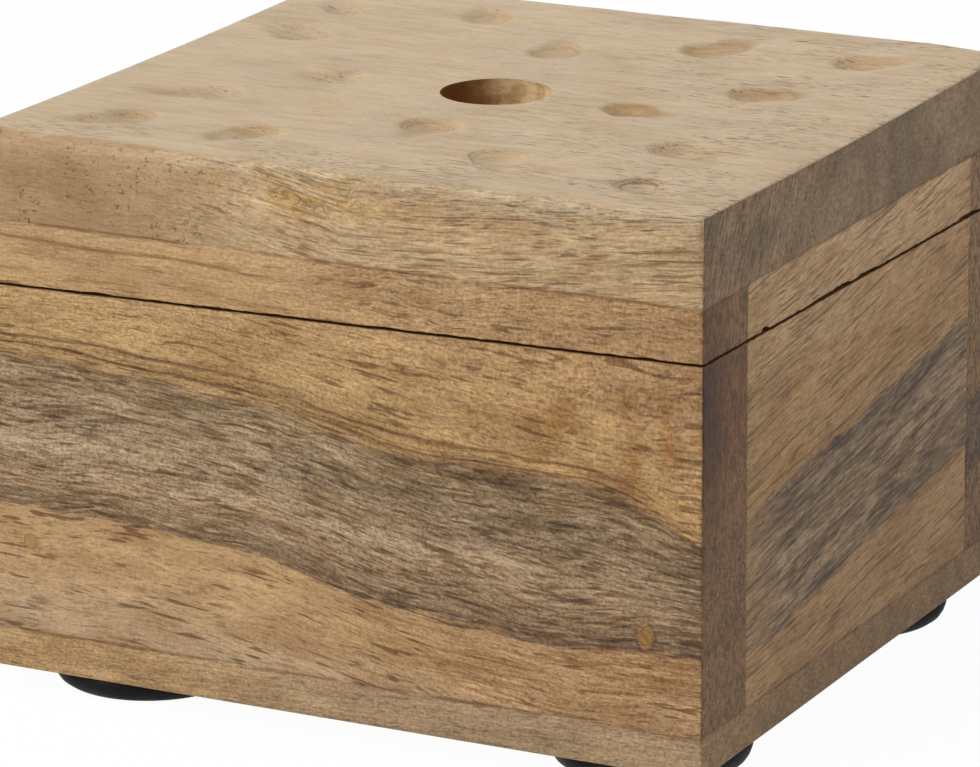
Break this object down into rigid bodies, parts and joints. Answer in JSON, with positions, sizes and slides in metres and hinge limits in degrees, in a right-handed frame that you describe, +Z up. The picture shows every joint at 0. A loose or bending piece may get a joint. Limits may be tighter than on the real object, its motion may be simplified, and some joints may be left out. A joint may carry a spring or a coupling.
{
  "type": "wooden spice box",
  "caption": "Small square hardwood spice box with a thick carved lid, sawn from the same boards and hinged at the back, a round scent hole through the lid and round pads underneath.",
  "frame": {"origin": "on the table, under the middle of the box, in the plane of the pads' undersides", "axes": "+X to the right along the front, +Y to the hinges at the back, +Z up"},
  "size_m": [0.1, 0.0955, 0.0723],
  "materials": {
    "mango_wood": "sanded and bare",
    "black_rubber": "matte",
    "brass": "satin",
    "nail_steel": "bright drawn",
    "putty": "matte"
  },
  "bodies": {
    "box": {"base_board": "mango_wood", "front_wall": "mango_wood", "back_wall": "mango_wood", "left_wall": "mango_wood", "right_wall": "mango_wood", "foot_front_left": "black_rubber", "foot_front_right": "black_rubber", "foot_back_left": "black_rubber", "foot_back_right": "black_rubber", "hinge_left_box_leaf": "brass", "hinge_right_box_leaf": "brass", "hinge_left_pin": "brass", "hinge_right_pin": "brass", "box_leaf_screws": "brass", "corner_nails": "nail_steel", "nail_fillers": "putty"},
    "lid": {"lid_front_rail": "mango_wood", "lid_back_rail": "mango_wood", "lid_left_rail": "mango_wood", "lid_right_rail": "mango_wood", "lid_board": "mango_wood", "hinge_left_lid_leaf": "brass", "hinge_right_lid_leaf": "brass", "lid_leaf_screws": "brass"}
  },
  "joints": [
    {"name": "lid_hinge", "type": "hinge", "parent": "box", "child": "lid", "pos_m": [0, 0.0472, 0.05247], "axis": [-0.9999, 0, -0.015], "range_deg": [0, 180]}
  ]
}
